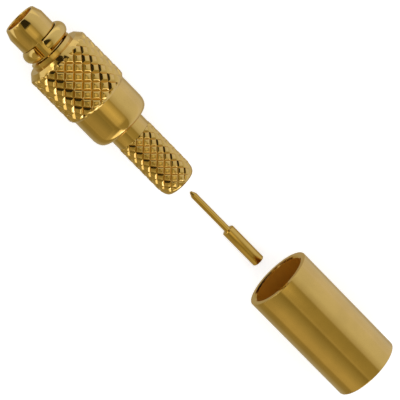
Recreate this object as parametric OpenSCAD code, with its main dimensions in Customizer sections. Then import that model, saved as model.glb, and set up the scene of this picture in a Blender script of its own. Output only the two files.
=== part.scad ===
// Straight crimp plug of a miniature push-on coaxial connector, as a kit laid out in a row:
// plug body with its snap ring, crimp stem and insulator, then the loose centre contact,
// then the loose crimp ferrule. All lie along X, mating end at -X, and rest on Z = 0.

/* [Nose] */
// Outside diameter of the nose that enters the jack
nose_d = 2.40; // [2.36:0.01:2.5]
// Diameter of the nose at its front lip
lip_d = 2.06; // [1.94:0.01:2.2]
// Rounding of the front lip
lip_edge = 0.04; // [0.02:0.01:0.06]
// Length of the lead-in taper, from the lip
taper_l = 0.52; // [0.3:0.01:0.8]
// Length of the nose, from the lip to the ring groove
nose_l = 1.52; // [1.2:0.01:2]
// Metal left between the ring groove's floor and the open mouth
mouth_wall = 0.16; // [0.14:0.01:0.2]

/* [Snap ring] */
// Outside diameter over the crown of the ring
ring_d = 3.02; // [2.9:0.01:3.2]
// Thickness of the ring at its crown
ring_wall = 0.38; // [0.36:0.01:0.4]
// Width of the ring along the plug
ring_w = 0.79; // [0.7:0.01:0.9]
// Height of the ring's straight flanks, below its crown
ring_flank = 0.14; // [0.08:0.01:0.18]
// Opening of the split
ring_gap = 0.65; // [0.5:0.01:0.8]
// Turn of the split from the top, towards -Y
ring_turn = 18; // [0:1:90]
// How far the loose ring sits off the plug's axis, towards +Y
ring_shift = 0.09; // [0:0.01:0.1]
// Room left between ring and groove floor on the tight side
ring_floor_play = 0.02; // [0.01:0.01:0.04]
// Room in front of the ring
ring_front_play = 0.035; // [0.02:0.005:0.05]
// Room behind the ring
ring_rear_play = 0.105; // [0.05:0.005:0.12]

/* [Grip] */
// Diameter of the plain collar behind the ring
collar_d = 2.75; // [2.6:0.01:2.9]
// Length of the collar
collar_l = 0.29; // [0.2:0.01:0.5]
// Diameter over the knurl
grip_d = 4.06; // [3.95:0.01:4.2]
// Diameter of the flat front face of the grip
grip_face_d = 3.46; // [3.2:0.01:3.6]
// Length of the knurled grip, with both bevels
grip_l = 3.67; // [3:0.01:5]
// Length of the bevel in front of the knurl
grip_front_l = 0.35; // [0.25:0.01:0.5]
// Length of the bevel behind the knurl
grip_rear_l = 0.21; // [0.15:0.01:0.3]
// Cuts around the grip, in each hand
grip_cuts = 17; // [14:1:19]
// Pitch of the knurl along the grip
grip_pitch = 0.72; // [0.6:0.01:0.9]
// Depth of the knurl on the grip
grip_cut = 0.11; // [0.06:0.01:0.12]
// Turn of the knurl round the grip, in degrees towards +Y at the top
grip_turn = 2.7; // [0:0.1:20]
// How far ahead of the grip the lines of its knurl are counted from
grip_lead = 0.23; // [0.2:0.01:0.5]
// Share of the knurl's pitch that the flat tops of the diamonds take
top_share = 0.52; // [0.3:0.01:0.7]

/* [Rear of the body] */
// Diameter of the smooth rear of the body
barrel_d = 3.72; // [3.6:0.01:3.75]
// Length of the smooth rear
barrel_l = 2.14; // [1.6:0.01:3]
// Length of its rounded end
barrel_round_l = 0.80; // [0.5:0.01:1]
// Diameter of the flat left on the rear face
barrel_end_d = 2.60; // [2.5:0.01:3]
// Break of the edge where the stem enters
barrel_mouth_break = 0.05; // [0.03:0.01:0.08]

/* [Crimp stem] */
// Plain diameter of the stem
stem_d = 2.26; // [2.24:0.01:2.3]
// Diameter over the knurl of the stem
stem_knurl_d = 2.33; // [2.31:0.01:2.38]
// Length of the stem that stands out of the body
stem_l = 4.69; // [4:0.01:6]
// Length of its plain part, next to the body
stem_plain_l = 0.78; // [0.5:0.01:1.2]
// Length of its rounded tip
stem_round_l = 0.74; // [0.5:0.01:0.9]
// Length of the stem that is pressed into the body
stem_seat_l = 3.40; // [2.8:0.01:3.6]
// Bore of the stem, which takes the cable's core
stem_bore_d = 1.60; // [1.5:0.01:1.64]
// Diameter of the flat at the tip
stem_end_d = 1.72; // [1.68:0.01:1.8]
// Cuts around the stem, in each hand
stem_cuts = 12; // [10:1:14]
// Pitch of the knurl along the stem
stem_pitch = 0.577; // [0.5:0.001:0.7]
// Turn of the knurl round the stem, in degrees towards +Y at the top
stem_turn = 12.7; // [0:0.1:30]
// Depth of the knurl on the stem
stem_cut = 0.075; // [0.05:0.005:0.09]

/* [Insulator] */
// Length of the insulator's narrow front, which stands in the mouth
bead_front_l = 0.10; // [0.05:0.01:0.12]
// Radial room around the pressed insulator and stem
seat_gap = 0.01; // [0.005:0.005:0.02]
// Radial room around the contact in the insulator
contact_room = 0.015; // [0.01:0.005:0.03]

/* [Centre contact] */
// Diameter of the pin
pin_d = 0.39; // [0.36:0.01:0.42]
// Length of the pin, tip included
pin_l = 3.18; // [2.9:0.01:3.4]
// Length of the tapered tip
pin_tip_l = 0.29; // [0.15:0.01:0.4]
// Diameter of the tip's blunt end
pin_tip_d = 0.14; // [0.08:0.01:0.2]
// Diameter of the solder barrel
cup_d = 0.77; // [0.72:0.01:0.85]
// Length of the solder barrel
cup_l = 2.70; // [2:0.01:3]
// Bore of the solder barrel, which takes the wire
cup_bore_d = 0.55; // [0.5:0.01:0.58]
// Depth of that bore
cup_bore_l = 2.10; // [1.5:0.01:2.4]
// Bevel on both ends of the solder barrel
cup_bevel = 0.05; // [0.03:0.01:0.08]
// How far the seated pin would stay behind the lip of the mouth
pin_recess = 0.30; // [0.2:0.01:0.5]

/* [Crimp ferrule] */
// Outside diameter of the ferrule
ferrule_d = 4.20; // [4.1:0.01:4.4]
// Bore of the ferrule
ferrule_bore_d = 3.43; // [3.3:0.01:3.6]
// Length of the ferrule
ferrule_l = 7.74; // [6.5:0.01:9]
// Rounding of the ferrule's rims
ferrule_edge = 0.07; // [0.04:0.01:0.1]

/* [Layout] */
// Space between the stem and the loose contact
contact_space = 1.24; // [0.3:0.01:3]
// Space between the loose contact and the loose ferrule
ferrule_space = 1.00; // [0.3:0.01:3]
// How far the loose contact lies beside the plug's axis
contact_aside = 0.04; // [0:0.01:0.1]
// How far the loose ferrule lies beside the plug's axis
ferrule_aside = 0.13; // [0:0.01:0.3]

/* [Hidden] */
$fn = 96;
arc_steps = 10;
// Extra length of a cutting or joining solid, so that no two faces fall in one plane
over = 0.2;
// Stations along the plug, from the lip
groove_l = ring_w + ring_front_play + ring_rear_play;
ring_bore_d = ring_d - 2 * ring_wall;
groove_d = ring_bore_d - 2 * (ring_shift + ring_floor_play);
mouth_d = groove_d - 2 * mouth_wall;
collar_at = nose_l + groove_l;
grip_at = collar_at + collar_l;
barrel_at = grip_at + grip_l;
body_l = barrel_at + barrel_l;
plug_l = body_l + stem_l;
stem_bore_at = body_l - stem_seat_l;
// Bore behind the mouth, which holds the insulator and the stem
seat_bore_d = stem_d + 2 * seat_gap;
seat_bore_at = grip_at + collar_l / 2;
bead_at = seat_bore_at - bead_front_l;
cup_seat_at = pin_recess + pin_l;
// Length of the whole row, and where each piece starts on it
contact_at = plug_l + contact_space;
ferrule_at = contact_at + pin_l + cup_l + ferrule_space;
row_l = ferrule_at + ferrule_l;
// The middle of the row's width, beside the plug's axis
row_mid = (ferrule_aside + ferrule_d / 2 - grip_d / 2) / 2;

// Lays a piece that is turned about Z along X, at its station on the row
module lay(station, rest_r, aside = 0) {
    translate([station - row_l / 2, aside - row_mid, rest_r]) rotate([0, 90, 0]) children();
}

// A turned piece: the outline is a list of [station, radius]
module turned(outline) {
    rotate_extrude() polygon([for (p = outline) [p[1], p[0]]]);
}

// A drilled hole from station a to station b
module drilled(d, a, b) {
    translate([0, 0, a]) cylinder(d = d, h = b - a);
}

// Points of a full, soft shoulder from [a, ra], running along the piece, to [b, rb], facing along it,
// with the angle t going from start to 90. A fullness of 2 is a plain ellipse, and more is squarer.
function shoulder(a, ra, b, rb, fullness, start = 0) = [
    for (i = [0 : arc_steps])
        let (t = start + (90 - start) * i / arc_steps)
        [a + (b - a) * pow(sin(t), 2 / fullness), rb + (ra - rb) * pow(cos(t), 2 / fullness)]
];

// Diamond knurl: a drum whose skin is cut by V cuts in two helical hands. Lines of points stand half a
// pitch apart. On each line the crossings of the cuts take turns with the widest part of a diamond.
// crown gives the radius over the diamonds at a station, and lead and tail are plain rings, as
// [station, radius], before the first line and after the last.
module knurled(cut, cuts, pitch, from, rows, crown, lead = [], tail = []) {
    half = pitch / 2;
    around = 2 * cuts;
    step = 360 / around;
    r_low = crown(from) - cut;
    function ring_point(r, z, place) = [r * cos(place * step), r * sin(place * step), z];
    function top(line, place) = let (z = from + line * half) ring_point(crown(z), z, place);
    // The place of a point counts round the drum, and each line has as many crossings as diamonds
    function turn(j) = (j + around) % around;
    function crossing(i, j) = i * cuts + floor(turn(j) / 2);
    crossings = [
        for (i = [0 : rows], j = [0 : around - 1]) if ((i + j) % 2 == 1)
            let (z = from + i * half) ring_point(min(r_low, crown(z)), z, j)
    ];
    function diamond(i, j, corner) = len(crossings) + 5 * (i * cuts + floor(turn(j) / 2)) + corner;
    tops = [
        for (i = [0 : rows], j = [0 : around - 1]) if ((i + j) % 2 == 0)
            each [
                top(i, j - top_share), top(i, j), top(i, j + top_share), top(i - top_share, j), top(i + top_share, j)
            ]
    ];
    // Half a diamond and the two walls below it, on the side of the next line
    function half_diamond(i, j, next, tip) =
        let (
            left = diamond(i, j, 0), mid = diamond(i, j, 1), right = diamond(i, j, 2), end = diamond(i, j, tip),
            low_left = crossing(i, j - 1), low_right = crossing(i, j + 1), low_end = crossing(next, j)
        )
        [
            [left, mid, end], [mid, right, end], [low_left, left, end], [low_left, end, low_end],
            [right, low_right, low_end], [right, low_end, end]
        ];
    function flipped(faces) = [for (f = faces) [f[0], f[2], f[1]]];
    upper = [
        for (i = [0 : rows - 1], j = [0 : around - 1]) if ((i + j) % 2 == 0)
            each flipped(half_diamond(i, j, i + 1, 4))
    ];
    lower = [
        for (i = [1 : rows], j = [0 : around - 1]) if ((i + j) % 2 == 0)
            each half_diamond(i, j, i - 1, 3)
    ];
    // The points of a line in their order round the drum, and the places where they stand
    function rim(i) = [
        for (j = [0 : around - 1])
            each (i + j) % 2 == 1 ? [crossing(i, j)] : [diamond(i, j, 0), diamond(i, j, 1), diamond(i, j, 2)]
    ];
    function places(i) = [
        for (j = [0 : around - 1]) each (i + j) % 2 == 1 ? [j] : [j - top_share, j, j + top_share]
    ];
    function rings(list, i) = [for (ring = list, place = places(i)) ring_point(ring[1], ring[0], place)];
    count = 4 * cuts;
    lead_at = len(crossings) + len(tops);
    tail_at = lead_at + len(lead) * count;
    function ring_list(start, k) = [for (n = [0 : count - 1]) start + k * count + n];
    bands = concat(
        [for (k = [0 : 1 : len(lead) - 1]) ring_list(lead_at, k)], [rim(0)]
    );
    end_bands = concat([rim(rows)], [for (k = [0 : 1 : len(tail) - 1]) ring_list(tail_at, k)]);
    function walls(list) = [
        for (k = [0 : 1 : len(list) - 2], n = [0 : count - 1])
            let (m = (n + 1) % count)
            each [[list[k][n], list[k + 1][n], list[k + 1][m]], [list[k][n], list[k + 1][m], list[k][m]]]
    ];
    function backwards(list) = [for (k = [len(list) - 1 : -1 : 0]) list[k]];
    polyhedron(
        points = concat(crossings, tops, rings(lead, 0), rings(tail, rows)),
        faces = concat(
            upper, lower, walls(bands), walls(end_bands),
            [bands[0], backwards(end_bands[len(end_bands) - 1])]
        )
    );
}

// Plug body: turned brass, with the nose, ring groove, collar, knurled grip and rounded rear in one piece
module plug_body() {
    front_slope = (grip_d - grip_face_d) / 2 / grip_front_l;
    rear_slope = (grip_d - barrel_d) / 2 / grip_rear_l;
    color("goldenrod") lay(0, grip_d / 2) difference() {
        union() {
            turned([
                [0, 0], [0, lip_d / 2 - lip_edge], [lip_edge, lip_d / 2], [taper_l, nose_d / 2],
                [nose_l, nose_d / 2], [nose_l, groove_d / 2], [collar_at, groove_d / 2],
                [collar_at, collar_d / 2], [grip_at + over, collar_d / 2], [grip_at + over, 0]
            ]);
            intersection() {
                rotate([0, 0, -grip_turn]) knurled(
                    grip_cut, grip_cuts, grip_pitch, grip_at - grip_lead,
                    ceil(2 * (grip_l + grip_lead + over) / grip_pitch), function (z) grip_d / 2
                );
                turned([
                    [grip_at, 0], [grip_at, grip_face_d / 2],
                    [grip_at + grip_front_l + over, grip_d / 2 + over * front_slope],
                    [barrel_at - grip_rear_l - over, grip_d / 2 + over * rear_slope],
                    [barrel_at + over, barrel_d / 2 - over * rear_slope],
                    [barrel_at + over, 0]
                ]);
            }
            turned(concat(
                [[barrel_at - over, 0], [barrel_at - over, barrel_d / 2]],
                shoulder(body_l - barrel_round_l, barrel_d / 2, body_l, barrel_end_d / 2, 2.6),
                [[body_l, 0]]
            ));
        }
        drilled(mouth_d, -over, seat_bore_at + over);
        drilled(seat_bore_d, seat_bore_at, body_l + over);
        translate([0, 0, body_l - barrel_mouth_break])
            cylinder(d1 = seat_bore_d, d2 = seat_bore_d + 4 * barrel_mouth_break, h = 2 * barrel_mouth_break);
    }
}

// Snap ring: a split ring of sprung bronze with a crowned outside, loose in its groove
module snap_ring() {
    crown = ring_wall - ring_flank;
    crown_r = (pow(ring_w / 2, 2) + pow(crown, 2)) / (2 * crown);
    color("darkgoldenrod") lay(nose_l + ring_front_play, grip_d / 2, ring_shift) difference() {
        rotate_extrude() intersection() {
            translate([ring_bore_d / 2, 0]) square([ring_d / 2, ring_w]);
            translate([ring_d / 2 - crown_r, ring_w / 2]) circle(r = crown_r);
        }
        rotate([0, 0, 180 + ring_turn])
            translate([ring_bore_d / 4, -ring_gap / 2, -over]) cube([ring_d, ring_gap, ring_w + 2 * over]);
    }
}

// Insulator: a white fluoropolymer bead, pressed in from behind against the step of the mouth
module insulator() {
    bead_d = seat_bore_d - 2 * seat_gap;
    color("white") lay(0, grip_d / 2) difference() {
        turned([
            [bead_at, 0], [bead_at, mouth_d / 2 - seat_gap], [seat_bore_at, mouth_d / 2 - seat_gap],
            [seat_bore_at, bead_d / 2], [stem_bore_at, bead_d / 2], [stem_bore_at, 0]
        ]);
        drilled(pin_d + 2 * contact_room, bead_at - over, cup_seat_at + over);
        drilled(cup_d + 2 * contact_room, cup_seat_at, stem_bore_at + over);
    }
}

// Crimp stem: a brass tube pressed into the body from behind, with a knurled outside for the braid
module crimp_stem() {
    knurl_at = body_l + stem_plain_l;
    round_at = plug_l - stem_round_l;
    r = stem_knurl_d / 2;
    end_r = stem_end_d / 2;
    // The knurl runs on over the first half of the rounded tip, and fades there
    rows = floor(2 * (round_at + stem_round_l / 2 - knurl_at) / stem_pitch);
    last = (knurl_at + rows * stem_pitch / 2 - round_at) / stem_round_l;
    tail = shoulder(round_at, r, plug_l, end_r, 2, last > 0 ? asin(last) : 0);
    color("goldenrod") lay(0, grip_d / 2) difference() {
        union() {
            turned([
                [stem_bore_at, 0], [stem_bore_at, stem_d / 2],
                [knurl_at - stem_cut / 3, stem_d / 2], [knurl_at - stem_cut / 3, 0]
            ]);
            rotate([0, 0, -stem_turn]) knurled(
                stem_cut, stem_cuts, stem_pitch, knurl_at, rows,
                function (z) z < round_at ? r : end_r + (r - end_r) * sqrt(1 - pow((z - round_at) / stem_round_l, 2)),
                lead = [[knurl_at - stem_cut, r - stem_cut]],
                tail = [for (i = [1 : arc_steps]) tail[i]]
            );
        }
        drilled(stem_bore_d, stem_bore_at - over, plug_l + over);
    }
}

// Centre contact: turned brass, a pin with a blunt tapered tip and a barrel that is soldered to the wire
module centre_contact() {
    contact_l = pin_l + cup_l;
    color("gold") lay(contact_at, cup_d / 2, contact_aside) difference() {
        turned([
            [0, 0], [0, pin_tip_d / 2], [pin_tip_l, pin_d / 2], [pin_l, pin_d / 2],
            [pin_l, cup_d / 2 - cup_bevel], [pin_l + cup_bevel, cup_d / 2],
            [contact_l - cup_bevel, cup_d / 2], [contact_l, cup_d / 2 - cup_bevel], [contact_l, 0]
        ]);
        drilled(cup_bore_d, contact_l - cup_bore_l, contact_l + over);
    }
}

// Crimp ferrule: a plain soft tube with softened rims, crimped over the braid on the stem
module crimp_ferrule() {
    r = ferrule_d / 2;
    color("goldenrod") lay(ferrule_at, r, ferrule_aside) difference() {
        turned(concat(
            [[0, 0], [0, r - ferrule_edge]],
            [for (t = [15 : 15 : 90]) [ferrule_edge * (1 - cos(t)), r - ferrule_edge * (1 - sin(t))]],
            [for (t = [0 : 15 : 90])
                [ferrule_l - ferrule_edge * (1 - sin(t)), r - ferrule_edge * (1 - cos(t))]],
            [[ferrule_l, 0]]
        ));
        drilled(ferrule_bore_d, -over, ferrule_l + over);
    }
}

plug_body();
snap_ring();
insulator();
crimp_stem();
centre_contact();
crimp_ferrule();
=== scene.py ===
import math

import bmesh
import bpy
from mathutils import Matrix, Vector


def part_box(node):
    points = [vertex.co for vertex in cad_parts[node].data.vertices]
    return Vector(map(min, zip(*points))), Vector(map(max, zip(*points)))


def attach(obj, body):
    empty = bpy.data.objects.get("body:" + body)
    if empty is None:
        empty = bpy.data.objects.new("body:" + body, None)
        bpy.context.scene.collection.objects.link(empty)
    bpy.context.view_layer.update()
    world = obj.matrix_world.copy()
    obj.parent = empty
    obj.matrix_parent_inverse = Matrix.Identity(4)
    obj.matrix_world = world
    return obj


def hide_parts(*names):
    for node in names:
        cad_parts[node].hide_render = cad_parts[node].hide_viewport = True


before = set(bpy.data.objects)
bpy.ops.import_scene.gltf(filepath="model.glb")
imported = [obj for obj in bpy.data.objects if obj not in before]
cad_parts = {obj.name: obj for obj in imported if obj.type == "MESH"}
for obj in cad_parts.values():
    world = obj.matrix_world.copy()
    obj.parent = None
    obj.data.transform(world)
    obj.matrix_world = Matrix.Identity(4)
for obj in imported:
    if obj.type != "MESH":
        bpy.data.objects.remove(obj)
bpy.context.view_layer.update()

# Camera
# The row is seen from above, a little from the mating end, by a long lens. The picture's diagonal
# runs along the row.
mm = 0.001
camera_tilt = math.radians(15.4)
camera_roll = math.radians(0.51)
camera_distance = 148 * mm
aim = Vector((0.22, 0.005, 2.03)) * mm

view_axis = Vector((-math.sin(camera_tilt), 0, math.cos(camera_tilt)))
along = Vector((math.cos(camera_tilt), 0, math.sin(camera_tilt)))
across = Vector((0, 1, 0))
along, across = (
    along * math.cos(camera_roll) + across * math.sin(camera_roll),
    across * math.cos(camera_roll) - along * math.sin(camera_roll),
)
camera_data = bpy.data.cameras.new("camera")
camera_data.sensor_width = 36
camera_data.lens = 36 * 2590 / 400
camera_data.clip_start = 5 * mm
camera_data.clip_end = 20
camera = bpy.data.objects.new("camera", camera_data)
bpy.context.collection.objects.link(camera)
camera.matrix_world = Matrix.Translation(aim + view_axis * camera_distance) @ Matrix(
    (
        ((along.x + across.x) / math.sqrt(2), (across.x - along.x) / math.sqrt(2), view_axis.x),
        ((along.y + across.y) / math.sqrt(2), (across.y - along.y) / math.sqrt(2), view_axis.y),
        ((along.z + across.z) / math.sqrt(2), (across.z - along.z) / math.sqrt(2), view_axis.z),
    )
).to_4x4()
scene = bpy.context.scene
scene.camera = camera
scene.view_settings.view_transform = "Standard"


# Shader building
# A socket with Python's own arithmetic, so that a material reads like a sum.
class Value:
    def __init__(self, tree, socket):
        self.tree, self.socket = tree, socket

    def node(self, kind, settings=None, outputs=0, **inputs):
        made = self.tree.nodes.new(kind)
        for name, value in (settings or {}).items():
            if name == "stops":
                ramp = made.color_ramp
                for place, colour in value[1:-1]:
                    ramp.elements.new(place).color = (*colour, 1)
                ends = (ramp.elements[0], ramp.elements[len(ramp.elements) - 1])
                for end, (place, colour) in zip(ends, (value[0], value[-1])):
                    end.position, end.color = place, (*colour, 1)
            else:
                setattr(made, name, value)
        for name, value in inputs.items():
            key = int(name[1:]) if name[0] == "i" and name[1:].isdigit() else name.replace("_", " ")
            self.feed(made.inputs[key], value)
        return Value(self.tree, made.outputs[outputs])

    def feed(self, socket, value):
        if isinstance(value, Value):
            self.tree.links.new(value.socket, socket)
        else:
            socket.default_value = value

    def maths(self, operation, a, b=0.0, c=0.0):
        return self.node("ShaderNodeMath", {"operation": operation}, i0=a, i1=b, i2=c)

    def __add__(self, other):
        return self.maths("ADD", self, other)

    __radd__ = __add__

    def __sub__(self, other):
        return self.maths("SUBTRACT", self, other)

    def __rsub__(self, other):
        return self.maths("SUBTRACT", other, self)

    def __mul__(self, other):
        return self.maths("MULTIPLY", self, other)

    __rmul__ = __mul__

    def __truediv__(self, other):
        return self.maths("DIVIDE", self, other)

    def step(self, low, high):
        return self.node(
            "ShaderNodeMapRange", {"interpolation_type": "SMOOTHSTEP"}, i0=self, i1=low, i2=high
        )

    def mix(self, a, b):
        return self.node("ShaderNodeMix", {"data_type": "RGBA"}, outputs=2, i0=self, i6=a, i7=b)


# Studio
# The pieces lie on a white floor in a bright room. The metal mirrors a white wall at +Y, a warm
# dim wall at -Y, a bright end wall at +X, and a dark opening overhead where the camera looks in.
world = bpy.data.worlds.new("studio")
world.use_nodes = True
scene.world = world
world.node_tree.nodes.clear()
sky = Value(world.node_tree, None)
heading = sky.node("ShaderNodeTexCoord")
split = world.node_tree.nodes.new("ShaderNodeSeparateXYZ")
world.node_tree.links.new(heading.socket, split.inputs[0])
east, north, up = (Value(world.node_tree, split.outputs[n]) for n in range(3))
# Angle round the row from straight up, positive towards +Y, as a share of a whole turn
turned_by = sky.maths("ARCTAN2", north, up) / (2 * math.pi) + 0.5


def at_angle(degrees):
    return 0.5 + degrees / 360


walls = turned_by.node(
    "ShaderNodeValToRGB",
    {
        "stops": [
            (0.0, (0.46, 0.46, 0.38)),
            (at_angle(-120), (0.33, 0.29, 0.13)),
            (at_angle(-102), (0.35, 0.29, 0.11)),
            (at_angle(-88), (0.54, 0.46, 0.24)),
            (at_angle(-71), (0.54, 0.46, 0.24)),
            (at_angle(-42), (0.37, 0.32, 0.15)),
            (at_angle(-27), (0.29, 0.24, 0.09)),
            (at_angle(-22), (0.29, 0.24, 0.09)),
            (at_angle(-19), (0.46, 0.40, 0.20)),
            (at_angle(-12), (0.40, 0.34, 0.15)),
            (at_angle(24), (0.34, 0.29, 0.12)),
            (at_angle(28), (0.52, 0.49, 0.36)),
            (at_angle(50), (0.68, 0.68, 0.61)),
            (at_angle(88), (0.72, 0.72, 0.72)),
            (1.0, (0.72, 0.74, 0.90)),
        ]
    },
    i0=turned_by,
)
west = -1.0 * east


def between(low, high, blur):
    """1 from the angle low to the angle high, fading inwards over blur, a share of a turn"""
    return (turned_by - at_angle(low)).step(0, blur) * (at_angle(high) - turned_by).step(0, blur)


opening = west.step(0.22, 0.30) * between(-21, 30, 0.008)
walls = opening.mix(walls, (0.03, 0.025, 0.015, 1))
end_wall = east.step(0.62, 0.76) * (at_angle(-16) - turned_by).step(0, 0.03)
walls = end_wall.mix(walls, (1.5, 1.4, 1.1, 1))
window = east.step(0.87, 0.90) * between(-60, -40, 0.01)
walls = window.mix(walls, (3.2, 3.6, 5.0, 1))
far_end = west.step(0.55, 0.75) * (at_angle(-62) - turned_by).step(0, 0.02)
walls = far_end.mix(walls, (1.0, 0.95, 0.75, 1))
lamp = west.step(0.7, 0.78) * between(-64, -44, 0.01)
walls = lamp.mix(walls, (2.4, 2.3, 2.0, 1))
path = world.node_tree.nodes.new("ShaderNodeLightPath")
seen = Value(world.node_tree, path.outputs["Is Camera Ray"])
mirrored = Value(world.node_tree, path.outputs["Is Glossy Ray"])
room_light = (0.72, 0.72, 0.72, 1)
glow = mirrored.mix(room_light, walls)
glow = seen.mix(glow, (1, 1, 1, 1))
background = world.node_tree.nodes.new("ShaderNodeBackground")
world.node_tree.links.new(glow.socket, background.inputs["Color"])
out = world.node_tree.nodes.new("ShaderNodeOutputWorld")
world.node_tree.links.new(background.outputs[0], out.inputs["Surface"])

floor_mesh = bmesh.new()
bmesh.ops.create_grid(floor_mesh, x_segments=1, y_segments=1, size=3)
floor_data = bpy.data.meshes.new("floor")
floor_mesh.to_mesh(floor_data)
floor_mesh.free()
floor = bpy.data.objects.new("floor", floor_data)
bpy.context.collection.objects.link(floor)
floor_material = bpy.data.materials.new("floor_white")
floor_material.use_nodes = True
tree = floor_material.node_tree
tree.nodes.clear()
ground = Value(tree, None)
place = tree.nodes.new("ShaderNodeSeparateXYZ")
spot = ground.node("ShaderNodeTexCoord", outputs=3)
tree.links.new(spot.socket, place.inputs[0])
# How far a spot lies beside the row, from -60 mm to +40 mm as 0 to 1
beside = Value(tree, place.outputs[1]) / (100 * mm) + 0.6
# What the metal mirrors in the floor is painted by place: darker and warmer on the -Y side and along
# the row, as painted shade and painted shadow of the pieces, and pale at +Y.
painted_reflection = beside.node(
    "ShaderNodeValToRGB",
    {
        "stops": [
            (0.0, (0.54, 0.46, 0.24)),
            (0.42, (0.35, 0.29, 0.12)),
            (0.53, (0.34, 0.29, 0.14)),
            (0.555, (0.42, 0.38, 0.25)),
            (0.57, (0.46, 0.42, 0.29)),
            (0.61, (0.46, 0.40, 0.25)),
            (0.635, (0.52, 0.46, 0.32)),
            (0.65, (0.66, 0.67, 0.70)),
            (0.68, (0.71, 0.71, 0.77)),
            (1.0, (0.74, 0.74, 0.84)),
        ]
    },
    i0=beside,
)
# In front of the nose the floor's mirror image is painted brighter.
nose_end = -16.5 * mm
in_front = (nose_end - Value(tree, place.outputs[0])).step(-1 * mm, 2 * mm)
painted_reflection = in_front.mix(painted_reflection, (0.95, 0.95, 0.9, 1))
path = tree.nodes.new("ShaderNodeLightPath")
seen = Value(tree, path.outputs["Is Camera Ray"])
mirrored = Value(tree, path.outputs["Is Glossy Ray"])
paper = tree.nodes.new("ShaderNodeBsdfDiffuse")
paper.inputs["Color"].default_value = (0.8, 0.8, 0.8, 1)
shine = tree.nodes.new("ShaderNodeEmission")
lit = tree.nodes.new("ShaderNodeAddShader")
tree.links.new(seen.mix((0, 0, 0, 1), (0.62, 0.62, 0.62, 1)).socket, shine.inputs["Color"])
tree.links.new(shine.outputs[0], lit.inputs[0])
tree.links.new(paper.outputs[0], lit.inputs[1])
mirror_view = tree.nodes.new("ShaderNodeEmission")
tree.links.new(painted_reflection.socket, mirror_view.inputs["Color"])
choice = tree.nodes.new("ShaderNodeMixShader")
tree.links.new(mirrored.socket, choice.inputs[0])
tree.links.new(lit.outputs[0], choice.inputs[1])
tree.links.new(mirror_view.outputs[0], choice.inputs[2])
out = tree.nodes.new("ShaderNodeOutputMaterial")
tree.links.new(choice.outputs[0], out.inputs["Surface"])
floor_data.materials.append(floor_material)


# A sheet that only the metal's mirror image shows, and that lights nothing: it paints a highlight of
# its own into the reflection, or paints shade over what is behind it, by a share that its material
# works out from the place on it.
def mirrored_sheet(name, centre, size, upright, light, dimmed, share_at):
    mesh = bmesh.new()
    bmesh.ops.create_grid(mesh, x_segments=1, y_segments=1, size=size)
    if upright:
        quarter_turn = Matrix.Rotation(math.pi / 2, 3, "X")
        bmesh.ops.rotate(mesh, cent=(0, 0, 0), matrix=quarter_turn, verts=mesh.verts)
    bmesh.ops.translate(mesh, vec=centre, verts=mesh.verts)
    data = bpy.data.meshes.new(name)
    mesh.to_mesh(data)
    mesh.free()
    sheet = bpy.data.objects.new(name, data)
    bpy.context.collection.objects.link(sheet)
    material = bpy.data.materials.new(name + "_light")
    material.use_nodes = True
    tree = material.node_tree
    tree.nodes.clear()
    value = Value(tree, None)
    place = tree.nodes.new("ShaderNodeSeparateXYZ")
    tree.links.new(value.node("ShaderNodeTexCoord", outputs=3).socket, place.inputs[0])
    path = tree.nodes.new("ShaderNodeLightPath")
    share = share_at(*(Value(tree, place.outputs[n]) for n in range(3)))
    share = share * Value(tree, path.outputs["Is Glossy Ray"])
    gleam = tree.nodes.new("ShaderNodeEmission")
    clear = tree.nodes.new("ShaderNodeBsdfTransparent")
    tree.links.new(share.mix((0, 0, 0, 1), (*light, 1)).socket, gleam.inputs["Color"])
    tree.links.new(share.mix((1, 1, 1, 1), (*dimmed, 1)).socket, clear.inputs["Color"])
    both = tree.nodes.new("ShaderNodeAddShader")
    tree.links.new(gleam.outputs[0], both.inputs[0])
    tree.links.new(clear.outputs[0], both.inputs[1])
    out = tree.nodes.new("ShaderNodeOutputMaterial")
    tree.links.new(both.outputs[0], out.inputs["Surface"])
    data.materials.append(material)


# A sheet over the plug, seen only in the metal's mirror image, paints a warm highlight as a soft
# stripe along its top; it lights nothing.
panel_half, panel_end = 50 * mm, 34 * mm
mirrored_sheet(
    "panel", (15 * mm, 0, 100 * mm), panel_half, False, (0.40, 0.35, 0.22), (1, 1, 1),
    lambda x, y, z: y.maths("MAXIMUM", 1.0 - y.maths("ABSOLUTE", y) / panel_half, 0.0)
    * (panel_end - x).step(0.0, 16 * mm),
)
# A sheet at -Y beside the plug, seen only in the metal's mirror image, paints shade into the
# reflection and keeps its lower side darker than the ferrule's.
card_half, card_end, card_top = 60 * mm, 24 * mm, 95 * mm
mirrored_sheet(
    "card", (0, -card_half, card_half), card_half, True, (0, 0, 0), (0.80, 0.79, 0.74),
    lambda x, y, z: (card_end - x).step(0.0, 5 * mm) * (card_top - z).step(0.0, 20 * mm),
)


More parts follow.
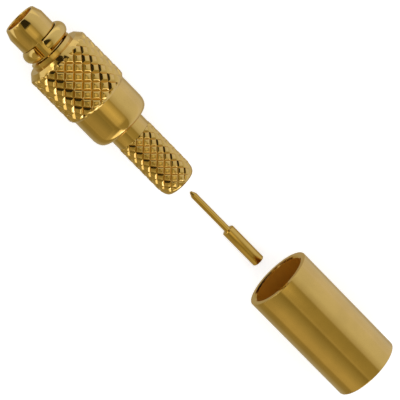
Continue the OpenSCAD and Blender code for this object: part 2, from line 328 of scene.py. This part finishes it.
# Gilding
# Bright gold over turned metal. Fine tool rings run round each piece, and the plating is a
# little uneven in tone and gloss.
def gilding(name, colour, roughness, ring_height, grain_height):
    material = bpy.data.materials.new(name)
    material.use_nodes = True
    tree = material.node_tree
    shader = tree.nodes["Principled BSDF"]
    shader.inputs["Metallic"].default_value = 1.0
    metal = Value(tree, None)
    point = metal.node("ShaderNodeTexCoord", outputs=3)
    rings = metal.node("ShaderNodeMapping", {}, Vector=point, Scale=(60000, 400, 400))
    ring_noise = metal.node(
        "ShaderNodeTexNoise", {"noise_dimensions": "3D"}, Vector=rings, Scale=1.0, Detail=2.0
    )
    grain = metal.node(
        "ShaderNodeTexNoise", {"noise_dimensions": "3D"}, Vector=point, Scale=9000.0, Detail=4.0
    )
    cloud = metal.node(
        "ShaderNodeTexNoise", {"noise_dimensions": "3D"}, Vector=point, Scale=700.0, Detail=3.0
    )
    tone = cloud.step(0.35, 0.65)
    dim = tuple(0.93 * c for c in colour)
    metal.feed(shader.inputs["Base Color"], tone.mix((*dim, 1), (*colour, 1)))
    metal.feed(
        shader.inputs["Roughness"],
        roughness + 0.06 * (grain - 0.5) + 0.04 * (ring_noise - 0.5),
    )
    bump = metal.node(
        "ShaderNodeBump", {}, Strength=1.0, Distance=1.0,
        Height=ring_noise * ring_height + grain * grain_height,
    )
    metal.feed(shader.inputs["Normal"], bump)
    return material


# Turning
# Every metal piece is round, and starts as an outline of stations and radii that is spun about
# the piece's axis. Then its sharp edges are broken.
def turned(outline, start, axis, steps, break_edge, sweep=2 * math.pi, closed=True):
    mesh = bmesh.new()
    points = [mesh.verts.new((start + s * mm, axis[0], axis[1] + r * mm)) for s, r in outline]
    edges = [mesh.edges.new(pair) for pair in zip(points[:-1], points[1:])]
    if closed:
        edges.append(mesh.edges.new((points[-1], points[0])))
    full = sweep > 6.28
    bmesh.ops.spin(
        mesh, geom=points + edges, cent=(0, axis[0], axis[1]), axis=(1, 0, 0),
        angle=sweep, steps=steps, use_merge=full,
    )
    bmesh.ops.remove_doubles(mesh, verts=mesh.verts, dist=0.0005 * mm)
    bmesh.ops.recalc_face_normals(mesh, faces=mesh.faces)
    if break_edge:
        limit = math.radians(28)
        sharp = [e for e in mesh.edges if e.is_manifold and e.calc_face_angle() > limit]
        bmesh.ops.bevel(
            mesh, geom=sharp, offset=break_edge * mm, offset_type="OFFSET", segments=2,
            profile=0.5, affect="EDGES", clamp_overlap=True, material=-1,
        )
    return mesh


def shoulder(a, ra, b, rb, fullness, count=14):
    """A rounding from station a to b and radius ra to rb. Fullness 2 is an ellipse."""
    power = 2 / fullness
    angles = [math.pi / 2 * n / count for n in range(count + 1)]
    return [
        (a + (b - a) * math.sin(t) ** power, rb + (ra - rb) * max(0, math.cos(t)) ** power)
        for t in angles
    ]


def middle(node):
    low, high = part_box(node)
    return (low[1] + high[1]) / 2, (low[2] + high[2]) / 2


def placed(name, mesh, material, node, body, crease=30, inner_shade=None, shaded_within=0.0):
    """A second material, a painted shade, goes on the faces that lie nearer the node's axis than the
    given radius.
    """
    axis = middle(node)
    bmesh.ops.recalc_face_normals(mesh, faces=mesh.faces)
    for face in mesh.faces:
        face.smooth = True
        centre = face.calc_center_median()
        if math.hypot(centre.y - axis[0], centre.z - axis[1]) < shaded_within * mm:
            face.material_index = 1
    for edge in mesh.edges:
        edge.smooth = not edge.is_manifold or edge.calc_face_angle() < math.radians(crease)
    data = bpy.data.meshes.new(name)
    mesh.to_mesh(data)
    mesh.free()
    data.materials.append(material)
    if inner_shade:
        data.materials.append(inner_shade)
    piece = bpy.data.objects.new(name, data)
    bpy.context.collection.objects.link(piece)
    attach(piece, body)
    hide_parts(node)
    return piece


# Knurling
# The diamonds are rolled in by two cuts of opposite hand. A flat sheet of squares is inset, its
# tops are raised, it is turned on its corner, trimmed, and rolled up round the piece.
def knurl_band(
    cuts, pitch, depth, radius, top, start, end, crossing, turn, lean, axis, origin, rows_at,
    follows=0.0,
):
    """crossing is a station where two cuts meet, turn the angle of that crossing from the top
    towards +Y, and lean gives the radius that the envelope allows at a station. The cuts follow
    the envelope inwards where follows is set, and fade out over that length before the end."""
    mesh = bmesh.new()
    half_way = math.pi * radius
    across_cell = 2 * half_way / cuts
    cells = int((2 * half_way / across_cell + (end - start) / pitch) + 4)
    bmesh.ops.create_grid(mesh, x_segments=cells, y_segments=cells, size=cells / 2)
    # The second, narrower inset rounds the rim of each top
    tops, land = mesh.faces[:], (1 - top) / 2
    for width, height in ((0.79 * land, 0.79 * depth), (0.42 * land, depth)):
        bmesh.ops.inset_individual(mesh, faces=tops, thickness=width, depth=0, use_even_offset=True)
        for vert in {v for f in tops for v in f.verts}:
            vert.co.z = height
    on_corner = Matrix.Rotation(math.pi / 4, 4, "Z")
    bmesh.ops.transform(mesh, matrix=on_corner, verts=mesh.verts)
    stretch = Matrix.Diagonal((pitch / math.sqrt(2), across_cell / math.sqrt(2), 1, 1))
    bmesh.ops.transform(mesh, matrix=stretch, verts=mesh.verts)
    # The sheet's middle is a crossing of the cuts, and is laid near the middle of the band
    crossing += pitch * round(((start + end) / 2 - crossing) / pitch)
    bmesh.ops.translate(mesh, vec=(crossing, radius * turn, 0), verts=mesh.verts)
    for place, outward in (
        ((start, 0, 0), (-1, 0, 0)), ((end, 0, 0), (1, 0, 0)),
        ((0, -half_way, 0), (0, -1, 0)), ((0, half_way, 0), (0, 1, 0)),
    ):
        geometry = mesh.verts[:] + mesh.edges[:] + mesh.faces[:]
        bmesh.ops.bisect_plane(
            mesh, geom=geometry, plane_co=place, plane_no=outward, clear_outer=True
        )
    for station in rows_at:
        geometry = mesh.verts[:] + mesh.edges[:] + mesh.faces[:]
        bmesh.ops.bisect_plane(mesh, geom=geometry, plane_co=(station, 0, 0), plane_no=(1, 0, 0))
    for vert in mesh.verts:
        angle = vert.co.y / radius
        if follows:
            fade = min(1, (end - vert.co.x) / follows)
            r = min(radius, lean(vert.co.x)) - (depth - vert.co.z) * fade
        else:
            r = min(radius - depth + vert.co.z, lean(vert.co.x))
        vert.co = (
            origin + vert.co.x * mm,
            axis[0] + r * math.sin(angle) * mm,
            axis[1] + r * math.cos(angle) * mm,
        )
    bmesh.ops.remove_doubles(mesh, verts=mesh.verts, dist=0.002 * mm)
    return mesh


def joined(parts):
    whole = bmesh.new()
    for part in parts:
        data = bpy.data.meshes.new("part")
        part.to_mesh(data)
        part.free()
        whole.from_mesh(data)
        bpy.data.meshes.remove(data)
    return whole


def rim_at(mesh, station, tolerance=0.01):
    return [
        e for e in mesh.edges
        if e.is_boundary and all(abs(v.co.x - station) < tolerance * mm for v in e.verts)
    ]


# Plug body
# Turned brass: nose with a lead-in taper, ring groove, collar, knurled grip and rounded rear, all
# in one piece, bored right through. Gold plated.
nose_d, lip_d, mouth_d = 2.40, 2.06, 1.72
taper_l, nose_l, lip_edge = 0.52, 1.52, 0.04
groove_d, collar_d = 2.04, 2.75
collar_at, grip_at, barrel_at, body_l = 2.45, 2.74, 6.41, 8.55
grip_d, grip_face_d, grip_front_l, grip_rear_l = 4.06, 3.46, 0.35, 0.21
barrel_d, barrel_round_l, barrel_end_d = 3.72, 0.80, 2.60
seat_bore_d, seat_bore_at, mouth_break = 2.28, 2.885, 0.05
lip_break, barrel_lead = 0.03, 0.03

lip_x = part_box("plug_body")[0][0]
plug_axis = middle("insulator")
shell = turned(
    [
        (grip_at, collar_d / 2), (collar_at, collar_d / 2),
        (collar_at, groove_d / 2), (nose_l, groove_d / 2),
        (nose_l, nose_d / 2), (taper_l, nose_d / 2),
        (lip_edge, lip_d / 2), (0, lip_d / 2 - lip_edge),
        (0, mouth_d / 2 + lip_break), (0.04, mouth_d / 2),
        (seat_bore_at, mouth_d / 2), (seat_bore_at, seat_bore_d / 2),
        (body_l - mouth_break, seat_bore_d / 2), (body_l, seat_bore_d / 2 + mouth_break),
    ]
    + list(reversed(shoulder(body_l - barrel_round_l, barrel_d / 2, body_l, barrel_end_d / 2, 2.6)))
    + [(barrel_at + barrel_lead, barrel_d / 2)],
    lip_x, plug_axis, 160, 0.012, closed=False,
)


def grip_limit(station):
    front = grip_face_d / 2 + (grip_d - grip_face_d) / 2 * (station - grip_at) / grip_front_l
    rear = barrel_d / 2 + (grip_d - barrel_d) / 2 * (barrel_at - station) / grip_rear_l
    return min(front, rear, grip_d / 2)


bevel_steps = 5
grip_rows = [grip_at + grip_front_l * n / bevel_steps for n in range(1, bevel_steps + 1)]
grip_rows += [barrel_at - grip_rear_l * n / bevel_steps for n in range(1, bevel_steps + 1)]
band = knurl_band(
    cuts=17, pitch=0.72, depth=0.11, radius=grip_d / 2, top=0.52, start=grip_at, end=barrel_at,
    crossing=3.95, turn=math.radians(2.7), lean=grip_limit, axis=plug_axis, origin=lip_x,
    rows_at=grip_rows,
)
body = joined([shell, band])
rear_rims = rim_at(body, lip_x + barrel_at * mm) + rim_at(body, lip_x + (barrel_at + barrel_lead) * mm)
for rims in (rim_at(body, lip_x + grip_at * mm), rear_rims):
    bmesh.ops.bridge_loops(body, edges=rims)
gold = (0.75, 0.51, 0.165)
body_gold = gilding("body_gold", gold, 0.10, 0.0000012, 0.0000004)
placed("plug_body_gilt", body, body_gold, "plug_body", "plug")

# Snap ring
# A band of spring bronze with a crowned outside, rolled up and left open at the split. It sits
# loose in its groove, a little to one side.
ring_d, ring_bore_d, ring_w, ring_flank, ring_gap = 3.02, 2.26, 0.79, 0.14, 0.65
ring_turn = math.radians(18)
ring_low, ring_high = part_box("snap_ring")
ring_axis = (ring_high[1] - ring_d / 2 * mm, plug_axis[1])
crown = (ring_d - ring_bore_d) / 2 - ring_flank
crown_r = ((ring_w / 2) ** 2 + crown**2) / (2 * crown)
crown_angle = math.asin(ring_w / 2 / crown_r)
outline = [(ring_w, ring_bore_d / 2), (0, ring_bore_d / 2)]
for n in range(17):
    t = -crown_angle + 2 * crown_angle * n / 16
    outline.append((ring_w / 2 + crown_r * math.sin(t), ring_d / 2 - crown_r * (1 - math.cos(t))))
gap_angle = 2 * math.asin(ring_gap / (ring_d + ring_bore_d) * 2)
ring = turned(outline, ring_low[0], ring_axis, 120, 0, sweep=2 * math.pi - gap_angle)
spun_back = Matrix.Translation((0, ring_axis[0], ring_axis[1])) @ Matrix.Rotation(
    ring_turn + gap_angle / 2, 4, "X"
) @ Matrix.Translation((0, -ring_axis[0], -ring_axis[1]))
bmesh.ops.transform(ring, matrix=spun_back, verts=ring.verts)
bmesh.ops.holes_fill(ring, edges=[e for e in ring.edges if e.is_boundary], sides=0)
bmesh.ops.recalc_face_normals(ring, faces=ring.faces)
ends = [e for e in ring.edges if e.is_manifold and e.calc_face_angle() > math.radians(35)]
bmesh.ops.bevel(
    ring, geom=ends, offset=0.03 * mm, offset_type="OFFSET", segments=3, profile=0.5,
    affect="EDGES", clamp_overlap=True, material=-1,
)
ring_gold = gilding("ring_gold", (0.75, 0.52, 0.17), 0.12, 0.0000008, 0.0000004)
placed("snap_ring_gilt", ring, ring_gold, "snap_ring", "ring")

# Insulator
# A turned bead of white fluoropolymer, pressed in behind the mouth. Only its face can be seen,
# down the mouth.
bead = bpy.data.materials.new("bead_white")
bead.use_nodes = True
shader = bead.node_tree.nodes["Principled BSDF"]
shader.inputs["Subsurface Weight"].default_value = 0.15
shader.inputs["Subsurface Radius"].default_value = (0.0003, 0.0003, 0.0003)
plastic = Value(bead.node_tree, None)
point = plastic.node("ShaderNodeTexCoord", outputs=3)
speckle = plastic.node("ShaderNodeTexNoise", {}, Vector=point, Scale=5000.0, Detail=3.0)
white = speckle.mix((0.90, 0.89, 0.85, 1), (0.96, 0.95, 0.92, 1))
plastic.feed(shader.inputs["Base Color"], white)
plastic.feed(shader.inputs["Roughness"], 0.5 + 0.1 * speckle)
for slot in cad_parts["insulator"].material_slots:
    slot.material = bead

# Crimp stem
# A brass tube pressed into the body. Its outside is knurled to grip the braid, and its tip is
# rounded so that it slides under the braid.
stem_d, stem_knurl_d, stem_bore_d, stem_end_d = 2.26, 2.33, 1.60, 1.72
stem_seat_l, stem_plain_l, stem_round_l, stem_break = 3.40, 0.78, 0.74, 0.03
plug_l = body_l + 4.69
knurl_at = body_l + stem_plain_l
tip = shoulder(plug_l - stem_round_l, stem_knurl_d / 2, plug_l, stem_end_d / 2, 2)
knurl_end = plug_l - 0.22 * stem_round_l


def stem_limit(station):
    lead = stem_d / 2 + (station - knurl_at) * 1.0
    share = max(0, (station - (plug_l - stem_round_l)) / stem_round_l)
    end_r = stem_end_d / 2
    return min(lead, end_r + (stem_knurl_d / 2 - end_r) * math.sqrt(max(0, 1 - share**2)))


past_knurl = [p for p in tip if p[0] > knurl_end + 0.02]
tube = turned(
    [
        (knurl_at, stem_d / 2 - 0.02), (knurl_at - 0.01, stem_d / 2),
        (body_l - stem_seat_l, stem_d / 2), (body_l - stem_seat_l, stem_bore_d / 2),
        (plug_l - stem_break, stem_bore_d / 2), (plug_l, stem_bore_d / 2 + stem_break),
    ]
    + list(reversed(past_knurl)),
    lip_x, plug_axis, 128, 0.008, closed=False,
)
stem_rows = [knurl_at + 0.02, knurl_at + 0.05]
stem_rows += [p[0] for p in tip if p[0] < knurl_end]
band = knurl_band(
    cuts=12, pitch=0.577, depth=0.075, radius=stem_knurl_d / 2, top=0.58, start=knurl_at,
    end=knurl_end, crossing=knurl_at, turn=math.radians(-2.3), lean=stem_limit, axis=plug_axis,
    origin=lip_x, rows_at=stem_rows, follows=0.12,
)
stem = joined([tube, band])
tip_rims = [e for x in (past_knurl[0][0], knurl_end) for e in rim_at(stem, lip_x + x * mm)]
bmesh.ops.bridge_loops(stem, edges=tip_rims)
stem_gold = gilding("stem_gold", gold, 0.10, 0.0000012, 0.0000004)
placed("crimp_stem_gilt", stem, stem_gold, "crimp_stem", "plug")

# Centre contact
# Turned brass: a pin with a blunt taper, and a barrel bored from behind for the cable's wire.
pin_d, pin_l, pin_tip_l, pin_tip_d = 0.39, 3.18, 0.29, 0.14
cup_d, cup_l, cup_bore_d, cup_bore_l, cup_bevel = 0.77, 2.70, 0.55, 2.10, 0.05
contact_l = pin_l + cup_l
drill_point_l = 0.12
bore_end = contact_l - cup_bore_l
contact = turned(
    [
        (0, 0), (0, pin_tip_d / 2), (pin_tip_l, pin_d / 2), (pin_l, pin_d / 2),
        (pin_l, cup_d / 2 - cup_bevel), (pin_l + cup_bevel, cup_d / 2),
        (contact_l - cup_bevel, cup_d / 2), (contact_l, cup_d / 2 - cup_bevel),
        (contact_l, cup_bore_d / 2), (bore_end, cup_bore_d / 2), (bore_end - drill_point_l, 0),
    ],
    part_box("centre_contact")[0][0], middle("centre_contact"), 72, 0.008, closed=False,
)
contact_gold = gilding("contact_gold", (0.70, 0.46, 0.125), 0.12, 0.0000008, 0.0000003)
placed("centre_contact_gilt", contact, contact_gold, "centre_contact", "plug")

# Crimp ferrule
# A soft drawn tube with rounded rims, slid over the cable and crimped on the stem.
ferrule_d, ferrule_bore_d, ferrule_l = 4.20, 3.43, 7.74
ferrule_edge, ferrule_funnel = 0.05, 0.09
r, bore = ferrule_d / 2, ferrule_bore_d / 2
quarter = [math.radians(15 * n) for n in range(7)]
corner = [(ferrule_edge * (1 - math.sin(t)), r - ferrule_edge * (1 - math.cos(t))) for t in quarter]
ferrule = turned(
    [(0, bore + ferrule_funnel)]
    + list(reversed(corner))
    + [(ferrule_l - back, height) for back, height in corner]
    + [(ferrule_l, bore + ferrule_funnel), (ferrule_l - ferrule_funnel, bore)]
    + [(ferrule_funnel, bore)],
    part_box("crimp_ferrule")[0][0], middle("crimp_ferrule"), 192, 0,
)
# Deep in the bore the gold only mirrors gold, so its dim inside is painted shade: the dull brown that
# this ends in.
shade = bpy.data.materials.new("bore_shade")
shade.use_nodes = True
shader = shade.node_tree.nodes["Principled BSDF"]
dull = Value(shade.node_tree, None)
point = dull.node("ShaderNodeTexCoord", outputs=3)
streaks = dull.node("ShaderNodeMapping", {}, Vector=point, Scale=(900, 5000, 5000))
streaks = dull.node("ShaderNodeTexNoise", {}, Vector=streaks, Scale=1.0, Detail=3.0)
brown = streaks.mix((0.48, 0.18, 0.003, 1), (0.55, 0.22, 0.006, 1))
dull.feed(shader.inputs["Base Color"], brown)
dull.feed(shader.inputs["Roughness"], 0.45 + 0.1 * streaks)
dull.feed(shader.inputs["Metallic"], 0.2 + 0.1 * streaks)
ferrule_gold = gilding("ferrule_gold", gold, 0.12, 0.0000005, 0.0000004)
placed(
    "crimp_ferrule_gilt", ferrule, ferrule_gold, "crimp_ferrule", "plug",
    inner_shade=shade, shaded_within=bore + 0.01,
)
